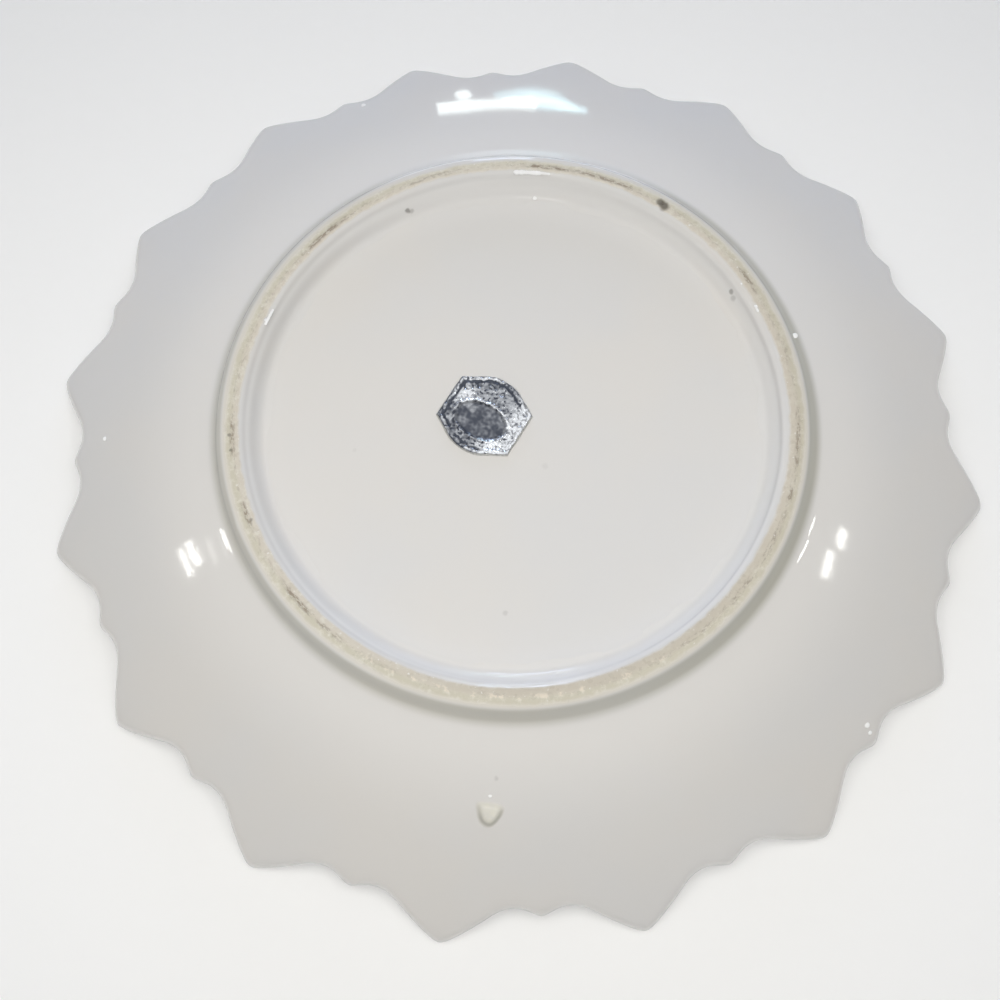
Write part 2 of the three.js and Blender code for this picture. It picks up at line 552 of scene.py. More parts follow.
# Sides of the ring: from which sine or cosine of the angle a side starts, and is reached
FAR_SIDE = (0.8, 0.97)
NEAR_SIDE = (0.75, 0.97)
LEFT_SIDE = (0.3, 0.95)
RIGHT_SIDE = (0.2, 0.9)
RIGHT_END = (0.7, 0.98)
FAR_HALF = (0.2, 0.95)
NEAR_RIGHT_DARK_SIDE = (0.55, 0.95)

# Marks in the glaze: x, y and z in millimetres, how far each reaches, and how dark it is
FLANGE_MARKS = (
    ((6.5, -61.6, 18.2), 0.5, 0.35),
    ((-2.4, -71.0, 15.7), 0.8, 0.22),
    ((-32.2, -7.5, 17.0), 0.6, 0.06),
    ((6.35, -10.35, 17.0), 0.9, 0.07),
    ((-1.2, -40.2, 17.0), 0.7, 0.16),
)
FOOT_MARKS = (
    ((31.3, 46.7, 21.5), 1.5, 0.85),
    ((30.5, 47.6, 21.5), 1.2, 0.8),
    ((-23.8, 47.2, 18.1), 0.8, 0.6),
    ((-23.0, 47.4, 17.7), 0.8, 0.3),
    ((45.2, 28.0, 18.9), 0.8, 0.5),
    ((45.7, 26.8, 18.4), 0.9, 0.25),
    ((-56.6, -6.2, 21.5), 0.55, 0.6),
    ((-56.0, -9.4, 21.5), 0.5, 0.6),
    ((-50.7, -23.6, 21.5), 0.5, 0.5),
)

# Stains rubbed into the bearing face: degrees round the ring, half width in degrees, and strength
STAINS = (
    (-173.5, 5.0, 0.8), (-156.5, 3.2, 0.85), (-136.0, 5.0, 0.95), (-127.0, 4.0, 0.65),
    (-116.0, 5.0, 0.45), (-70.0, 5.0, 0.5), (-55.0, 8.0, 0.35), (-40.0, 5.0, 0.5),
    (-27.0, 6.0, 0.5), (-17.5, 2.0, 0.8), (-6.0, 8.0, 0.7), (13.5, 4.0, 0.4),
    (31.5, 3.5, 0.85), (70.0, 9.0, 0.85), (83.0, 7.0, 1.0), (109.0, 6.0, 0.5), (136.0, 8.0, 0.95),
)


def marked(place, colour, marks):
    """The colour with dark marks on it, each a little ragged."""
    ragged = place + 0.5 * (clouds(place, pitch=0.9, detail=3.0).beside("Color") - 0.5)
    for centre, reach, dark in marks:
        colour = blend(dark * spot(ragged, centre, reach), colour, IRON_SPECK)
    return colour


def white_tints(place, pitch):
    """Porcelain white, warmer and cooler in turn."""
    return blend(ease(clouds(place, pitch, detail=3.0), 0.35, 0.65), WARM_WHITE, COOL_WHITE)


def glazed_porcelain():
    """Clear gloss over white porcelain, warmer and cooler in turn, with specks and a haze of wear."""
    material, shader, place = finish_sheet("glazed_porcelain")
    colour = white_tints(place, pitch=38.0)
    # Painted light: the flange lighter near its root
    colour = blend(band(plan_radius(place), FLANGE_ROOT), colour, ROOT_PAINTED_LIGHT)
    # Painted light: the rolled rim edge lighter, most at the middle of its turn
    colour = blend(carried(place, "pale"), colour, PAINTED_LIGHT_WHITE)
    colour = marked(place, colour, FLANGE_MARKS)
    haze = clouds(place, pitch=9.0, detail=4.0)
    peel = clouds(place, pitch=1.3, detail=2.0)
    dress(shader, colour, 0.045 + 0.02 * haze, bumped(peel, strength=0.05, distance=0.1 * MM))
    shader.inputs["IOR"].default_value = GLAZE_IOR
    return material


def stain_round_ring(angle):
    """How much dirt the bearing face holds at an angle, from 0 to 1."""
    strength = None
    for middle, half_width, depth in STAINS:
        off = angle - radians(middle)
        off = abs(off.sum("WRAP", off, pi, -pi))
        arc = depth * (1.0 - ease(off, radians(0.4 * half_width), radians(1.2 * half_width)))
        strength = arc if strength is None else most(strength, arc)
    return strength


def ring_glaze(place, radius, far, right):
    """Ring walls: painted light inside and far off, a cream bevel, pooling glaze and painted shade outside.
    """
    at_far = ease(far, *FAR_SIDE)
    at_left = ease(-1.0 * right, *LEFT_SIDE)
    glaze = white_tints(place, pitch=30.0)
    # Painted light: the inner wall lighter, starting further out on the left
    glaze = blend(band(radius - 1.3 * at_left, INNER_WALL, radius), glaze, WALL_PAINTED_LIGHT)
    # Painted light: the ring's toe as light as the flange root
    glaze = blend(ease(radius, *TOE), glaze, ROOT_PAINTED_LIGHT)
    glaze = blend(0.8 * band(radius, BEVEL) * (1.0 - at_far), glaze, BEVEL_CREAM)
    # Glaze pooling and painted shade in the outer cove: most on the right, little on the far side
    pooled = (0.5 + 0.2 * ease(right, *RIGHT_SIDE)) * (1.0 - 0.9 * at_far)
    glaze = blend(band(radius, COVE) * pooled, glaze, POOLED_GREY_AND_SHADE)
    # Painted light: the ring's outer wall lighter on the far side
    return blend(at_far * band(radius, FAR_WALL), glaze, PAINTED_LIGHT_WHITE)


def bearing_cream(place, radius, angle, ragged, mottle):
    """Bare bearing face: mottled cream with dirt, darker to the near right, painted light far off and
    painted glints.
    """
    far = sine(angle)
    right = cosine(angle)
    cream = blend(ease(radius + ragged, *CREAM_CHANGE), INNER_CREAM, OUTER_CREAM)
    cream = blend(ease(mottle, 0.45, 0.75), cream, PALE_CREAM)
    # Darker towards the near right on the inner half, and towards the right end
    near_right = ease(0.42 * right - 0.91 * far, *NEAR_RIGHT_DARK_SIDE)
    inner_half = 1.0 - ease(radius, *NEAR_RIGHT_DARK_END)
    right_darkening = most(0.55 * near_right * inner_half, 0.3 * ease(right, *RIGHT_END))
    cream = blend(right_darkening, cream, DARKER_CREAM)
    # Painted light: the bearing face paler on the far side
    cream = blend(0.35 * ease(far, *FAR_SIDE), cream, PALE_CREAM)
    along = joined(place.sheet, 45.0 * right, 45.0 * far, 2.4 * radius)
    streaks = clouds(along, pitch=1.1, detail=4.0, roughness=0.7)
    stain = stain_round_ring(angle)
    line = 1.0 - ease(abs(radius + 0.6 * ragged - DIRT_CIRCLE), 0.1, 0.75)
    near = ease(-1.0 * far, *NEAR_SIDE)
    caught = ease(streaks + 0.10 * stain, 0.50, 0.64) * (0.35 + 0.65 * stain)
    dirt = line * caught * (1.0 - 0.7 * near)
    smudge = 0.22 * line * stain
    cream = blend(0.8 * most(dirt, smudge), cream, BROWN_DIRT)
    # Painted glints: near-white flecks on the bearing face
    fleck = ease(clouds(place, pitch=0.8, detail=3.0), 0.66, 0.74)
    cream = blend(0.6 * fleck, cream, PAINTED_LIGHT_WHITE)
    # Painted glints: lighter patches along the dirt line on the near side
    worn = near * line * ease(clouds(place, pitch=1.3, detail=3.0), 0.54, 0.64)
    return blend(0.5 * worn, cream, NEAR_GLINT_CREAM)


def foot_porcelain():
    """Glazed walls, and a bare cream bearing face with dirt in it."""
    material, shader, place = finish_sheet("foot_porcelain")
    radius = plan_radius(place)
    across, along, height = split(place)
    angle = across.sum("ARCTAN2", along, across)
    far = sine(angle)
    right = cosine(angle)
    fine = clouds(place, pitch=1.8, detail=4.0)
    coarse = clouds(place, pitch=9.0, detail=2.0)
    ragged = 0.8 * fine + 0.6 * coarse - 0.7
    high = ease(height, BEARING * PER_MM - 0.5, BEARING * PER_MM - 0.2)
    inner_edge = radius + ragged - 0.35 * (far - 0.5 * right)
    bare = high * band(inner_edge, BARE_FACE, radius + ragged + 0.15 * far)
    mottle = clouds(place, pitch=1.3, detail=5.0, roughness=0.65)
    cream = bearing_cream(place, radius, angle, ragged, mottle)
    colour = marked(place, blend(bare, ring_glaze(place, radius, far, right), cream), FOOT_MARKS)
    bevel = band(radius, BEVEL) * (1.0 - 0.95 * ease(far, *FAR_SIDE))
    far_cove = ease(far, *FAR_HALF) * band(radius, FAR_COVE)
    sealed = ease(clouds(place, pitch=1.4, detail=2.0), 0.56, 0.64)
    gloss = 0.03 + 0.012 * mottle + 0.18 * bevel + 0.2 * far_cove
    rough = clouds(place, pitch=0.5, detail=4.0, roughness=0.7) * bare + 0.02 * mottle
    normal = bumped(rough, strength=0.35, distance=0.12 * MM)
    dress(shader, colour, gloss + bare * (0.5 - 0.4 * sealed), normal)
    shader.inputs["IOR"].default_value = GLAZE_IOR
    return material


def fused_clay():
    """Cream clay under a thin glaze, a little mottled, with glaze pooling and painted shade round its foot.
    """
    material, shader, place = finish_sheet("fused_clay")
    mottle = clouds(place, pitch=1.1, detail=4.0)
    colour = blend(ease(mottle, 0.3, 0.7), CLAY_CREAM, CLAY_PALE)
    colour = blend(carried(place, "melted"), colour, WARM_WHITE)
    # Glaze pooling and painted shade round the pip's foot
    colour = blend(carried(place, "pooled"), colour, CLAY_SHADOW)
    dress(shader, colour, 0.12 + 0.15 * mottle, bumped(mottle, strength=0.15, distance=0.1 * MM))
    return material


def white_beads_and_glints():
    """Thick white glaze run into beads, whiter than the glaze so that it shows as painted glints."""
    material, shader, place = finish_sheet("white_beads_and_glints")
    mottle = clouds(place, pitch=0.4, detail=3.0)
    dress(shader, blend(mottle, BEAD_WHITE, BEAD_BRIGHT), 0.05 + 0.05 * mottle)
    return material


def gummed_paper():
    """Thin off-white paper, fibrous and greyer where it is rubbed."""
    material, shader, place = finish_sheet("gummed_paper")
    fibre = clouds(place, pitch=0.35, detail=4.0, roughness=0.7)
    colour = blend(ease(fibre, 0.3, 0.75), PAPER_RUBBED, PAPER_WHITE)
    dress(shader, colour, 0.75 + 0.2 * fibre, bumped(fibre, strength=0.3, distance=0.05 * MM))
    return material


def silver_foil():
    """Bright foil, dulled by tarnish and painted dark reflection, with painted highlights, as its points
    carry.
    """
    material, shader, place = finish_sheet("silver_foil")
    stain = clouds(place, pitch=0.5, detail=4.0, roughness=0.6)
    dull = ease(carried(place, "patina") + 0.15 * (stain - 0.5), 0.1, 0.9)
    normal = bumped(stain, strength=0.12, distance=0.08 * MM)
    dress(shader, blend(dull, FOIL_BRIGHT, FOIL_DULL), 0.12 + 0.2 * dull + 0.06 * stain, normal)
    shader.inputs["Metallic"].default_value = 1.0
    return material


# The plate: floor, flange and lobed rim, a shape turned by rule

def glaze_sway(sheet, size):
    """The slow waves of the glaze, up and down."""
    wave = sheet.add("ShaderNodeTexNoise", sockets={"Scale": size["Wave pitch"], "Detail": 1.0})
    return joined(sheet, z=(wave - 0.5) * size["Wave height"])


def plate_body(finish):
    sheet, size = shape_sheet("lobed_plate", {**RIM, **FLANGE, **GLAZE_WAVES})
    around = POINTS * STEPS_A_POINT
    half_edge = size["Edge thickness"] / 2
    floor = SEAT - size["Floor thickness"]
    well = size["Well radius"]
    root = size["Shoulder radius"]

    def well_floor(angle, share):
        return well * share, floor

    def well_verge(angle, share):
        radius = well + (root - well) * share
        fall = flange_front(size, root) + SEAT - floor
        return radius, floor + fall * share * share

    def front_flange(angle, share):
        edge = rim_reach(size, angle) - half_edge
        radius = root + (edge - root) * share
        return radius, SEAT + flange_front(size, radius)

    def rolled_edge(angle, share):
        lean = (share - 0.5) * pi
        centre = rim_reach(size, angle) - half_edge
        radius = centre + half_edge * cosine(lean)
        height = flange_middle(size, radius) + flange_thickness(size, centre) / 2 * sine(lean)
        return radius, SEAT + height

    # Painted light on the rolled edge, most at the middle of its turn
    def painted_edge_light(share):
        return sine(share * pi)

    def back_flange(angle, share):
        edge = rim_reach(size, angle) - half_edge
        radius = edge + (root - edge) * share
        return radius, SEAT + flange_back(size, radius)

    def shoulder(angle, share):
        return root, SEAT + size["Shoulder height"] * (1.0 - share)

    def back_floor(angle, share):
        return root * (1.0 - share), SEAT

    bands = [
        turned_band(sheet, around, 3, well_floor),
        turned_band(sheet, around, 4, well_verge),
        turned_band(sheet, around, 16, front_flange),
        turned_band(sheet, around, 8, rolled_edge, painted_edge_light),
        turned_band(sheet, around, 26, back_flange),
        turned_band(sheet, around, 1, shoulder),
        turned_band(sheet, around, 4, back_floor),
    ]
    close_and_finish(sheet, bands, finish, glaze_sway(sheet, size))
    return mesh_of_tree("porcelain_plate", sheet.tree)


# Rules for plain numbers

def bell(value, middle, width):
    """A smooth bump: 1 at the middle, falling away at about its width."""
    return exp(-((value - middle) / width) ** 2)


def within(value, low, high):
    """0 at low, 1 at high, and a straight rise between them."""
    return min(max((value - low) / (high - low), 0.0), 1.0)


# The foot ring: a section of straight and bent stretches, turned about the axis

def bent(start, bend, end, share):
    """A place on a stretch from start to end, straight or bent towards a third place."""
    left = 1.0 - share
    if bend is None:
        return tuple(left * a + share * b for a, b in zip(start, end))
    return tuple(
        left * left * a + 2.0 * left * share * c + share * share * b
        for a, c, b in zip(start, bend, end)
    )


def crossing(first, first_slope, second, second_slope):
    """Where two lines cross that fall outwards, each from a place and at its slope."""
    rise = first[1] + first_slope * first[0] - second[1] - second_slope * second[0]
    radius = rise / (first_slope - second_slope)
    return radius, first[1] + first_slope * (first[0] - radius)


def foot_ring(finish):
    sizes = {**FOOT, **FLANGE, **GLAZE_WAVES, "Point reach": RIM["Point reach"]}
    sheet, size = shape_sheet("foot_ring", sizes)
    top = size["Height"]
    root = size["Inner root"]
    draft = (size["Inner top"] - root) / top
    fillet = FILLETS_TO_WALL * size["Inner fillet"]
    inner_round = size["Inner round"]
    inner_toe = root - size["Inner fillet"]
    outer_toe = size["Outer toe"]
    wall_start = (root + draft * fillet, fillet)
    wall_end = (size["Inner top"] - draft * inner_round, top - inner_round)
    edge_start = (size["Inner top"] + size["Inner ease"], top)
    edge_end = (size["Outer top"], top)
    crown = (size["Crown"], top - size["Crown drop"])
    wall = (size["Wall"], top - size["Wall drop"])
    hollow = (size["Hollow"], top - size["Hollow drop"])
    toe = (outer_toe, flange_back(size, outer_toe))
    step_out = 0.1 * MM
    toe_slope = (toe[1] - flange_back(size, outer_toe + step_out)) / step_out
    buried_start = (inner_toe - FOOT_TOE, -FOOT_SINK)
    buried_end = (outer_toe + FOOT_TOE, flange_back(size, outer_toe + FOOT_TOE) - FOOT_SINK)
    crown_bend = crossing(edge_end, 0.0, crown, size["Crown slope"])
    wall_bend = crossing(crown, size["Crown slope"], wall, size["Wall slope"])
    hollow_bend = crossing(wall, size["Wall slope"], hollow, size["Hollow slope"])
    toe_bend = crossing(hollow, size["Hollow slope"], toe, toe_slope)

    # Each stretch starts where the last one ends: what it bends towards, its end, and its stations
    stretches = (
        ((inner_toe - FOOT_TOE / 2, 0.0), (inner_toe, 0.0), 4),
        ((root, 0.0), wall_start, 10),
        (None, wall_end, 6),
        ((size["Inner top"], top), edge_start, 10),
        (None, edge_end, 8),
        (crown_bend, crown, 8),
        (wall_bend, wall, 10),
        (hollow_bend, hollow, 10),
        (toe_bend, toe, 10),
        (ALONG_FLANGE, buried_end, 6),
        (None, (outer_toe, -FOOT_DEPTH), 1),
        (None, (inner_toe, -FOOT_DEPTH), 2),
        (None, buried_start, 1),
    )
    bands = []
    start = buried_start
    for bend, end, stations in stretches:
        def section(angle, share):
            if bend == ALONG_FLANGE:
                radius = outer_toe + FOOT_TOE * share
                return radius, SEAT + flange_back(size, radius) - FOOT_SINK * share * share
            radius, height = bent(start, bend, end, share)
            return radius, SEAT + height

        bands.append(turned_band(sheet, FOOT_STEPS, stations, section))
        start = end
    lumps = sheet.add("ShaderNodeTexNoise", sockets={"Scale": FOOT_LUMPS, "Detail": 2.0}, out="Color")
    height = split(sheet.add("GeometryNodeInputPosition"))[2]
    high = ease(height, SEAT + 2.0 * MM, BEARING - 1.0 * MM)
    uneven = (lumps - 0.5) * LUMP_SHARES * (size["Unevenness"] * high)
    off_centre = joined(sheet, x=size["Off centre"] * high)
    sway = glaze_sway(sheet, size) + uneven + off_centre
    close_and_finish(sheet, bands, finish, sway, inside_out=True)
    return mesh_of_tree("porcelain_foot", sheet.tree)


# The pip: a small three-cornered lump of clay, fused to the flange by glaze

# Its sides: which way each faces in degrees, and how far it is from the middle in millimetres
PIP_SIDES = ((84, 2.3), (190, 2.75), (252, 2.7), (320, 1.95), (15, 3.1))
PIP_SHARPNESS = 4.0
PIP_RISE = 0.75 * MM
PIP_PLATEAU = 0.35
PIP_DOME = 0.2
PIP_SINK = 0.01 * MM
PIP_DEPTH = 0.2 * MM
PIP_LUMPS = 0.14
PIP_LUMP_PITCH = 1.5 * MM


def pip_reach(angle):
    """The outline of a rounded three-cornered shape with worn corners."""
    parts = [max(cos(angle - radians(side)), 0.0) / (away * MM) for side, away in PIP_SIDES]
    return sum(part ** PIP_SHARPNESS for part in parts) ** (-1 / PIP_SHARPNESS)


def kiln_pip(finish):
    centre = (pip_low + pip_high) / 2
    seat = plate_back(centre.x, centre.y)
    around = 120
    rings = 36
    points = [(centre.x, centre.y, seat + PIP_RISE)]
    pooled = [0.0]
    melted = [0.0]
    for share, angle, x, y in disc_places(around, rings, pip_reach):
        fall = within(share, PIP_PLATEAU, 1.0)
        dome = 1.0 - PIP_DOME * share * share
        rise = PIP_RISE * dome * (1.0 - fall * fall * (3.0 - 2.0 * fall)) - PIP_SINK * share
        x += centre.x
        y += centre.y
        lump = 1.0 + PIP_LUMPS * noise.noise((x / PIP_LUMP_PITCH, y / PIP_LUMP_PITCH, 3.0))
        points.append((x, y, plate_back(x, y) + rise * lump))
        # Glaze pooling and painted shade round the foot, most on the downhill side
        downhill = 0.3 + 0.7 * within(sin(angle), 0.7, -0.3)
        pooled.append(0.8 * bell(fall, 0.6, 0.25) * downhill)
        melted.append(within(fall, 0.55, 0.95))
    under = len(points)
    points.append((centre.x, centre.y, seat - PIP_DEPTH))
    faces = disc_faces(around, rings) + under_faces(under, under - around, around)
    pip = mesh_of_points("fused_pip", points, faces, finish)
    carry(pip.data, "pooled", pooled + [0.0])
    carry(pip.data, "melted", melted + [0.0])
    return pip


# The seal: embossed foil on gummed paper

SEAL_INRADIUS = 8.35 * MM
SEAL_TURN = radians(-0.7)
CORNER_STEP = 60
ROUNDED_CORNERS = (60, 240)
OVAL_PLACE = (-0.7 * MM, -1.4 * MM)
OVAL_HALVES = (5.8 * MM, 3.9 * MM)
OVAL_TURN = radians(-28)
# Where a painted highlight sits on the foil, and how far it reaches
PAINTED_HIGHLIGHT_SPOT = (-3.8 * MM, 4.5 * MM)
PAINTED_HIGHLIGHT_REACH = 2.1 * MM

# How far the paper shows past the foil, how ragged both edges are, and how far the foil lifts
PAPER_FRINGE = 0.28 * MM
PAPER_TEAR = 0.16 * MM
FOIL_TRIM = 0.14 * MM
FOIL_LIFT = 0.12 * MM

# Heights of the foil's relief, in millimetres
BORDER_RISE = 0.06
BORDER_GROOVE = 0.08
OVAL_RIDGE = 0.2
OVAL_HOLLOW = 0.1
CRUMPLES = 0.36
SWELL = 0.25

# How dull plain foil is, with tarnish and painted dark reflection, and what each part of the seal adds or
# takes away; ridge, down right, patch and edge are painted highlights
PLAIN_FOIL = 0.50
DULLNESS = {
    "field": 0.25, "shade": 1.0, "groove": 0.6, "hollow": 0.34, "rubbed": 0.5, "specks": 0.45,
    "ridge": -0.4, "down_right": -0.4, "patch": -0.5, "edge": -0.6,
}


def seal_reach(angle):
    """The seal's outline: a hexagon with two of its corners rounded away."""
    angle = degrees(angle - SEAL_TURN) % 360
    corner = round(angle / CORNER_STEP) * CORNER_STEP
    if corner % 360 in ROUNDED_CORNERS:
        return SEAL_INRADIUS
    return SEAL_INRADIUS / cos(radians(CORNER_STEP / 2 - abs(angle - corner)))


def seal_disc(centre, base, around, rings, grow, height):
    """Points and faces of a thin closed disc with the seal's outline and a given height above its base."""
    def outline(angle):
        return seal_reach(angle) + grow(angle)

    points = [(centre.x, centre.y, base + height(0.0, 0.0, 0.0))]
    for share, angle, x, y in disc_places(around, rings, outline):
        points.append((centre.x + x, centre.y + y, base + height(x, y, share)))
    faces = disc_faces(around, rings)
    skirt = len(points)
    last = skirt - around
    points += [(x, y, base) for x, y, z in points[last:]]
    for step in range(around):
        beside = (step + 1) % around
        faces.append((last + step, skirt + step, skirt + beside, last + beside))
    faces += under_faces(len(points), skirt, around)
    points.append((centre.x, centre.y, base))
    return points, faces


def label_backing(finish):
    centre = (backing_low + backing_high) / 2
    thickness = backing_high.z - backing_low.z

    def torn(angle):
        return PAPER_FRINGE + PAPER_TEAR * noise.noise((3 * cos(angle), 3 * sin(angle), 5.0))

    def height(x, y, share):
        return thickness

    points, faces = seal_disc(centre, backing_low.z, 360, 6, torn, height)
    return mesh_of_points("seal_paper", points, faces, finish)


def facets(x, y, pitch, seed):
    """Crumpled facets with sharp ridges between them, from 0 to about 1."""
    return noise.voronoi((x / pitch, y / pitch, seed))[0][0]


def dents(x, y, pitch, seed):
    """Soft dents, from 0 to 1."""
    return 0.5 + 0.5 * noise.noise((x / pitch, y / pitch, seed))


def oval_share(x, y):
    """0 in the middle of the oval field, 1 on its edge."""
    x -= OVAL_PLACE[0]
    y -= OVAL_PLACE[1]
    along = x * cos(OVAL_TURN) + y * sin(OVAL_TURN)
    across = y * cos(OVAL_TURN) - x * sin(OVAL_TURN)
    return hypot(along / OVAL_HALVES[0], across / OVAL_HALVES[1])


def foil_folds(x, y):
    """The crumples of the foil, from 0 to about 1."""
    return 0.65 * facets(x, y, 1.35 * MM, 7.0) + 0.35 * facets(x, y, 0.7 * MM, 3.0)


def frayed_share(x, y, share):
    """The share of the way to the seal's edge, frayed so that the border wanders."""
    return share + 0.07 * (dents(x, y, 0.8 * MM, 15.0) - 0.5) + 0.05 * (dents(x, y, 2.2 * MM, 17.0) - 0.5)


def foil_relief(x, y, share):
    """Embossing and crumples of the foil over its own thickness, in metres."""
    worn = 0.2 + 1.6 * dents(x, y, 0.9 * MM, 11.0)
    frayed = frayed_share(x, y, share)
    border = BORDER_RISE * bell(frayed, 0.95, 0.03) - BORDER_GROOVE * bell(frayed, 0.87, 0.025)
    oval = oval_share(x, y)
    ridge = OVAL_RIDGE * bell(oval, 1.03, 0.09)
    hollow = OVAL_HOLLOW * (1.0 - within(oval, 0.85, 1.0))
    calm = 0.3 + 0.7 * within(oval, 0.8, 1.0)
    crumples = CRUMPLES * calm * foil_folds(x, y) + SWELL * dents(x, y, 3.0 * MM, 2.0)
    return (worn * (border + ridge) - hollow + crumples) * MM


def foil_dullness_and_painted_light(x, y, share):
    """How dull the foil is, from 0 to 1: dull in the oval, painted shade in the border's groove, brighter
    elsewhere, with painted highlights.
    """
    oval = oval_share(x, y)
    field = 1.0 - within(oval, 0.85, 1.0)
    off_field = 1.0 - field
    frayed = frayed_share(x, y, share)
    worn = within(dents(x, y, 1.8 * MM, 5.0), 0.3, 0.65)
    upper = within(y / SEAL_INRADIUS, -0.2, 0.3)
    up_right = within((x + 1.6 * y) / SEAL_INRADIUS, -0.2, 0.5)
    down_right = within((x - y) / SEAL_INRADIUS, 0.4, 0.9) * off_field
    side = atan2(y, x)
    top = within(cos(side - radians(95)), 0.85, 0.97)
    lower_right = within(cos(side - radians(-50)), 0.2, 0.7)
    # Painted highlights along the edge at the top and the lower right
    painted_edge_highlight = (0.15 + max(top, lower_right)) * dents(x, y, 0.7 * MM, 4.0)
    shade = 0.55 * (dents(x, y, 2.2 * MM, 1.0) - 0.5) + 0.36 * (dents(x, y, 0.7 * MM, 13.0) - 0.5)
    parts = {
        "field": field,
        "shade": shade * field,
        # Painted shade in the border's groove, most on the upper side
        "groove": bell(frayed, 0.875, 0.03) * (0.25 + 0.6 * upper + worn) * (1.0 - down_right),
        "hollow": within(foil_folds(x, y), 0.6, 0.15) * (1.0 - 0.8 * field),
        "rubbed": bell(share, 1.0, 0.02) * within(dents(x, y, 1.4 * MM, 6.0), 0.35, 0.6),
        "specks": within(dents(x, y, 0.55 * MM, 8.0), 0.6, 0.7) * off_field,
        # Painted highlights: the oval's ridge to the upper right, the lower right, a spot and the edge
        "ridge": bell(oval, 1.04, 0.07) * up_right,
        "down_right": down_right,
        "patch": bell(dist((x, y), PAINTED_HIGHLIGHT_SPOT), 0.0, PAINTED_HIGHLIGHT_REACH),
        "edge": within(frayed, 0.9, 0.93) * painted_edge_highlight,
    }
    return PLAIN_FOIL + sum(DULLNESS[name] * amount for name, amount in parts.items())


def label_foil(finish):
    centre = (foil_low + foil_high) / 2
    thickness = foil_high.z - foil_low.z

    def trimmed(angle):
        return FOIL_TRIM * noise.noise((5 * cos(angle), 5 * sin(angle), 9.0))

    def height(x, y, share):
        return thickness + FOIL_LIFT + foil_relief(x, y, share)

    points, faces = seal_disc(centre, foil_low.z, 480, 120, trimmed, height)
    foil = mesh_of_points("seal_foil", points, faces, finish)
    patina = []
    for x, y, z in points:
        x -= centre.x
        y -= centre.y
        share = hypot(x, y) / seal_reach(atan2(y, x)) if x or y else 0.0
        patina.append(foil_dullness_and_painted_light(x, y, share))
    carry(foil.data, "patina", patina)
    return foil


# Small white beads on the flange and the ring: glaze lumps, and painted glints

# Glaze lumps on the flange, and beads at the ring's inner edge and floor put there as painted glints
# x and y in millimetres, how far each stands over the flange's own curve, and its reach
BEADS = (
    (-87.2, -2.9, 0.0, 0.5),
    (70.2, -59.6, 0.0, 0.6),
    (70.9, -61.0, 0.0, 0.45),
    (-37.0, 82.6, 0.0, 0.6),
    (-3.5, -74.0, 0.0, 0.36),
    (57.6, 17.7, 0.7, 0.6),
    (49.6, 23.4, 0.6, 0.35),
    (46.9, 28.6, 0.6, 0.3),
    (-51.5, 19.1, 0.6, 0.35),
    (3.8, 51.2, -4.72, 0.5),
)

# Rows of white beads along the ring's inner edge, put there as painted glints: degrees from and to, then
# radius, lift and reach
GLINT_RUNS = (
    (90.2, 85.2, 54.95, 0.52, 0.7),
    (85.0, 83.0, 54.95, 0.55, 0.4),
    (157.0, 160.5, 54.6, 0.45, 0.3),
    (24.2, 25.4, 54.7, 0.5, 0.3),
)
RUN_OVERLAP = 0.8
BEAD_FLATNESS = 0.3


def bead_places():
    """The beads and the runs of painted glints, each run a row of beads that melt into one another."""
    places = list(BEADS)
    for start, end, radius, lift, reach in GLINT_RUNS:
        steps = ceil(abs(radians(end - start)) * radius / (RUN_OVERLAP * reach))
        for step in range(steps + 1):
            angle = radians(start + (end - start) * step / steps)
            wander = 1.0 + 0.3 * noise.noise((step * 0.7, start, 0.0))
            places.append((radius * cos(angle), radius * sin(angle), lift, reach * wander))
    return places


def glaze_beads(finish):
    """White beads on the flange and the ring, partly painted glints, each a low dome on a point that carries
    its size.
    """
    sheet, size = shape_sheet("glaze_beads", {"Flatness": BEAD_FLATNESS})
    points = []
    reaches = []
    for x, y, lift, reach in bead_places():
        points.append((x * MM, y * MM, plate_back(x * MM, y * MM) + lift * MM))
        reaches.append(reach * MM)
    mesh = bpy.data.meshes.new("bead_places")
    mesh.from_pydata(points, [], [])
    carry(mesh, "reach", reaches)
    reach = sheet.add("GeometryNodeInputNamedAttribute", {"data_type": "FLOAT"}, {"Name": "reach"})
    dome = sheet.add("GeometryNodeMeshIcoSphere", sockets={"Subdivisions": 3})
    low = joined(sheet, reach, reach, reach * size["Flatness"])
    places = size["Flatness"].beside("Mesh")
    beads = sheet.add(
        "GeometryNodeInstanceOnPoints", sockets={"Points": places, "Instance": dome, "Scale": low}
    )
    finish_shape(sheet, beads, finish)
    return mesh_of_tree("glaze_beads", sheet.tree, mesh)


# Floor, light and camera

def seen_or_mirrored(sheet):
    """Two wires: 1 for what the camera sees straight, and 1 for what it sees in a mirror."""
    ray = sheet.add("ShaderNodeLightPath", out="Is Camera Ray")
    return ray, most(ray.beside("Is Glossy Ray"), ray.beside("Is Transmission Ray"))


FLOOR_WHITE = (0.80, 0.80, 0.79)
FLOOR_PALE = (0.82, 0.82, 0.81)
NO_GLOW = (0.0, 0.0, 0.0)
FLOOR_GLOW = (0.16, 0.16, 0.16)
FAR_GLOW = (0.60, 0.60, 0.60)
FAR_FADE = (230.0, 800.0)
FLOOR_HALF = 4.0


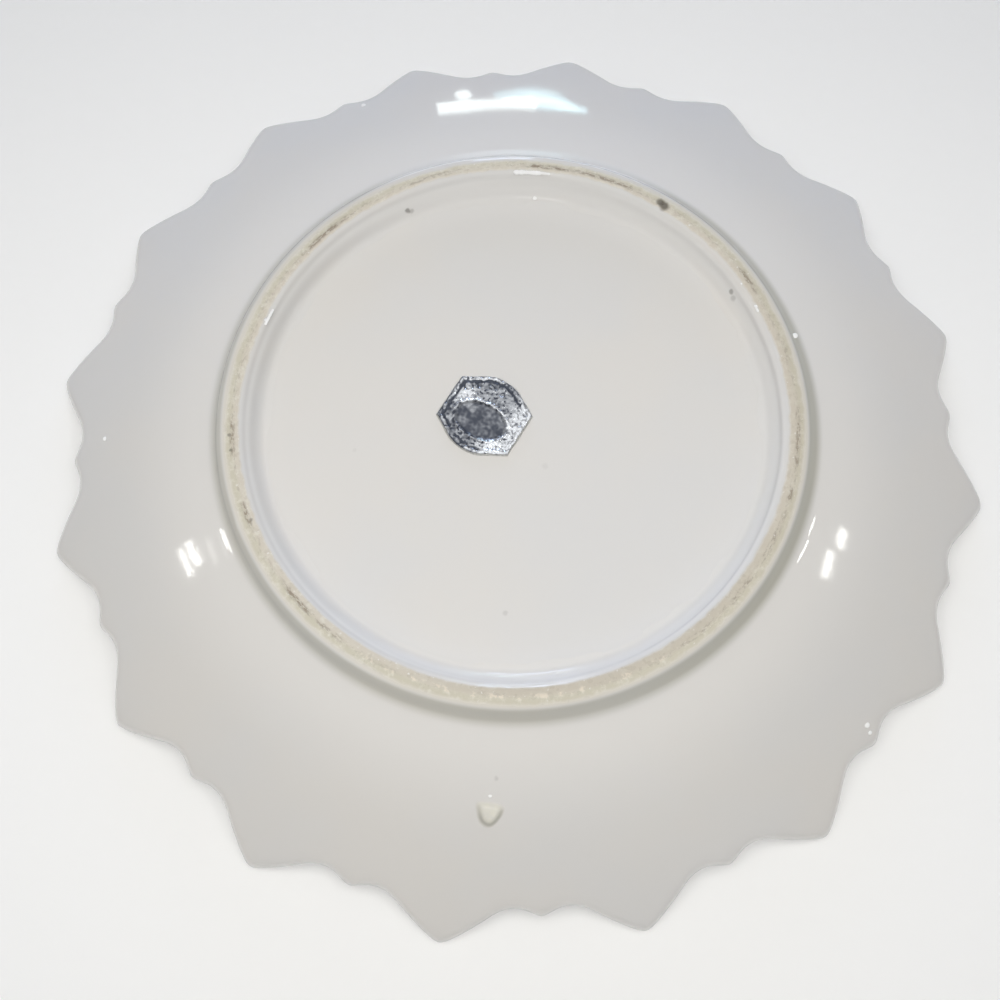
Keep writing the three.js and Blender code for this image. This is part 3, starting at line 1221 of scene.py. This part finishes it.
def pale_floor(level):
    """A pale floor that looks lighter than the light on it makes it, most of all far off."""
    material, shader, place = finish_sheet("pale_floor")
    ray, mirrored = seen_or_mirrored(place.sheet)
    glow = blend(most(ray, mirrored), NO_GLOW, FLOOR_GLOW)
    distant = ray * ease(plan_radius(place), *FAR_FADE)
    dress(shader, blend(clouds(place, pitch=4.0, detail=4.0), FLOOR_WHITE, FLOOR_PALE), 0.9)
    place.sheet.feed(shader.inputs["Emission Color"], blend(distant, glow, FAR_GLOW))
    shader.inputs["Emission Strength"].default_value = 1.0
    ends = (-FLOOR_HALF, FLOOR_HALF)
    corners = [(x, y, level) for y in ends for x in ends]
    floor = mesh_of_points("floor", corners, [(0, 1, 3, 2)], material)


FILL_LIGHT = (0.28, 0.28, 0.285)
PALE_BACKDROP = (0.90, 0.90, 0.90)
CEILING = (0.95, 0.95, 0.96)
UPPER_WALLS = (0.33, 0.33, 0.34)
DIM_WALL = (0.24, 0.24, 0.24)
WINDOW_WALL = (0.66, 0.70, 0.82)


def room_light():
    """An even fill. The glaze mirrors a room with a pale ceiling, dim walls and a light wall ahead."""
    world = bpy.data.worlds.new("soft_room")
    bpy.context.scene.world = world
    world.use_nodes = True
    world.node_tree.nodes.clear()
    sheet = Sheet(world.node_tree)
    across, ahead, up = split(sheet.add("ShaderNodeTexCoord", out="Generated"))
    walls = blend(ease(ahead, -0.2, 0.75), DIM_WALL, WINDOW_WALL)
    room = blend(ease(up, 0.15, 0.55), walls, UPPER_WALLS)
    room = blend(ease(up, 0.60, 0.98), room, CEILING)
    ray, mirrored = seen_or_mirrored(sheet)
    fill, around, backdrop = [
        sheet.add("ShaderNodeBackground", sockets={"Color": colour})
        for colour in (FILL_LIGHT, room, PALE_BACKDROP)
    ]
    both = sheet.add("ShaderNodeMixShader", sockets={0: mirrored, 1: fill, 2: around})
    all_rays = sheet.add("ShaderNodeMixShader", sockets={0: ray, 1: both, 2: backdrop})
    sheet.add("ShaderNodeOutputWorld", sockets={"Surface": all_rays})


def flat_lamp(name, shape, wide, tall, brightness, colour, place, target, turn=0.0):
    """A flat lamp of an even brightness that faces a target. The camera doesn't see it."""
    light = bpy.data.lights.new(name, "AREA")
    light.shape = shape
    light.size = wide
    light.size_y = tall
    area = wide * tall * (pi / 4 if shape == "ELLIPSE" else 1.0)
    light.energy = brightness * pi * area
    light.color = colour
    lamp = placed(name, light)
    facing = (place - target).to_track_quat("Z", "Y").to_matrix() @ Matrix.Rotation(turn, 3, "Z")
    lamp.matrix_world = Matrix.Translation(place) @ facing.to_4x4()
    lamp.visible_camera = False
    return lamp


def mirrored_lamp(
    name, target, azimuth, elevation, wide, tall, turn, brightness, colour, shape="RECTANGLE", distance=1.0
):
    """A lamp that only shows as a highlight at a place in the glaze. Its angles are in degrees."""
    heading = radians(azimuth)
    rise = radians(elevation)
    level = cos(rise)
    away = Vector((level * cos(heading), level * sin(heading), sin(rise)))
    target = MM * Vector(target)
    across = 2 * distance * tan(radians(wide) / 2)
    upright = 2 * distance * tan(radians(tall) / 2)
    place = target + distance * away
    lamp = flat_lamp(name, shape, across, upright, brightness, colour, place, target, radians(turn))
    lamp.visible_diffuse = False


# The camera: where it stands, and the axis of the plate and its focal length in the picture, in pixels
CAMERA_DISTANCE = 209.27 * MM
CAMERA_ELEVATION = radians(70.79)
CAMERA_ROLL = radians(0.795)
IMAGE_SIDE = 1000.0
FOCAL_LENGTH = 941.64
AXIS_COLUMN = 513.77
AXIS_ROW = 444.82
SENSOR = 36.0


def photo_camera():
    """The camera looks at the origin from its elevation, then turns so that the origin is off the centre."""
    camera = bpy.data.cameras.new("photo_camera")
    camera.sensor_width = SENSOR
    camera.lens = SENSOR * FOCAL_LENGTH / IMAGE_SIDE
    camera.clip_start = 0.01
    holder = placed("photo_camera", camera)
    across = (AXIS_COLUMN - IMAGE_SIDE / 2) / FOCAL_LENGTH
    down = (AXIS_ROW - IMAGE_SIDE / 2) / FOCAL_LENGTH
    pan = atan(across)
    tilt = atan(down * cos(pan))
    place = CAMERA_DISTANCE * Vector((0.0, -cos(CAMERA_ELEVATION), sin(CAMERA_ELEVATION)))
    look = place.to_track_quat("Z", "Y").to_matrix()
    roll = Matrix.Rotation(CAMERA_ROLL, 3, "Z")
    turn = roll @ Matrix.Rotation(tilt, 3, "X") @ Matrix.Rotation(pan, 3, "Y")
    holder.matrix_world = Matrix.Translation(place) @ (look @ turn).to_4x4()
    bpy.context.scene.camera = holder


# The pieces, each on the part's one body and in the place of its solid

pieces = [
    (plate_body(glazed_porcelain()), "plate_body", "glazed_porcelain"),
    (foot_ring(foot_porcelain()), "foot_ring", "foot_porcelain"),
    (kiln_pip(fused_clay()), "kiln_pip", "fused_clay"),
    (label_backing(gummed_paper()), "label_backing", "gummed_paper"),
    (label_foil(silver_foil()), "label_foil", "silver_foil"),
    (glaze_beads(white_beads_and_glints()), None, "glazed_porcelain"),
]
for piece, node, slot in pieces:
    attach(piece, "root")
    if node:
        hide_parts(node)

# The plate rests on the points that its warp leaves lowest
rest_low, rest_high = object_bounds()
pale_floor(rest_low.z)
room_light()

# A soft lamp overhead and a window light the porcelain. Neither is mirrored in the glaze
overhead = flat_lamp(
    "overhead_lamp", "ELLIPSE", wide=0.46, tall=0.26, brightness=2.6, colour=(1.0, 0.985, 0.95),
    place=Vector((-0.015, -0.05, 0.30)), target=Vector((-0.015, -0.05, 0.0)),
)
overhead.visible_glossy = False
daylight = flat_lamp(
    "daylight", "RECTANGLE", wide=0.93, tall=0.21, brightness=4.6, colour=(0.46, 0.62, 0.98),
    place=Vector((0.0, 0.98, 0.21)), target=Vector((0.0, 0.0, 0.0)),
)
daylight.visible_glossy = False

# Small lamps and the window's own picture, which show as highlights
LAMP_WHITE = (1.0, 1.0, 0.95)
WINDOW_WHITE = (0.90, 1.0, 0.97)
WINDOW_BLUE = (0.60, 0.93, 1.0)
WINDOW_GLINT = (0.62, 0.74, 1.0)
FAR_FLANGE = (-3.4, 79.6, 11.7)

# Each has a name, its place in the glaze in millimetres, azimuth, elevation, width, height and turn in
# degrees, brightness and colour, then its shape if not a rectangle, and its distance if not 1 metre
HIGHLIGHTS = (
    ("lamp_left", (-62.9, -29.1, 15.9), -178.06, 34.9, 4.2, 1.1, 24.0, 16.0, LAMP_WHITE),
    ("lamp_left_low", (-64.9, -30.8, 14.9), -176.84, 33.77, 4.9, 0.8, 23.2, 16.0, LAMP_WHITE),
    ("lamp_left_faint", (-59.1, -29.6, 17.1), -177.53, 37.51, 4.6, 0.6, 20.9, 4.0, LAMP_WHITE),
    ("lamp_right", (64.9, -23.9, 15.9), 2.5, 33.65, 3.9, 1.3, -14.8, 16.0, LAMP_WHITE, "ELLIPSE"),
    ("lamp_right_near", (61.6, -30.2, 16.2), -2.5, 35.7, 4.4, 1.15, -11.3, 16.0, LAMP_WHITE),
    ("lamp_over", (4.0, 54.9, 21.5), -105.0, 78.7, 5.0, 5.0, 0.0, 6.0, LAMP_WHITE),
    ("window", FAR_FLANGE, 94.0, 7.35, 12.8, 2.35, 0.0, 6.0, WINDOW_WHITE),
    ("window_right", FAR_FLANGE, 87.0, 6.9, 10.0, 2.6, -4.0, 2.8, WINDOW_BLUE, "ELLIPSE"),
    ("window_far_right", FAR_FLANGE, 85.0, 7.2, 9.0, 2.3, -5.0, 2.8, WINDOW_BLUE, "ELLIPSE"),
    ("window_end", FAR_FLANGE, 82.6, 7.8, 4.7, 1.3, -10.0, 3.0, WINDOW_BLUE, "ELLIPSE"),
    ("window_catch", (-13.2, 84.7, 9.4), 96.34, 5.2, 2.1, 1.9, 0.0, 6.0, WINDOW_WHITE, "ELLIPSE"),
    ("window_rise", FAR_FLANGE, 88.2, 5.8, 10.0, 2.2, -5.0, 3.0, WINDOW_BLUE, "ELLIPSE"),
    ("window_cloud", FAR_FLANGE, 87.3, 4.7, 6.5, 1.6, -5.0, 2.0, WINDOW_BLUE, "ELLIPSE"),
    ("window_glint", (3.3, -52.5, 18.5), 92.4, 20.0, 7.0, 9.0, 0.0, 9.0, WINDOW_GLINT, "RECTANGLE", 0.3),
)
for highlight in HIGHLIGHTS:
    mirrored_lamp(*highlight)
photo_camera()

bpy.context.scene.view_settings.view_transform = "Standard"
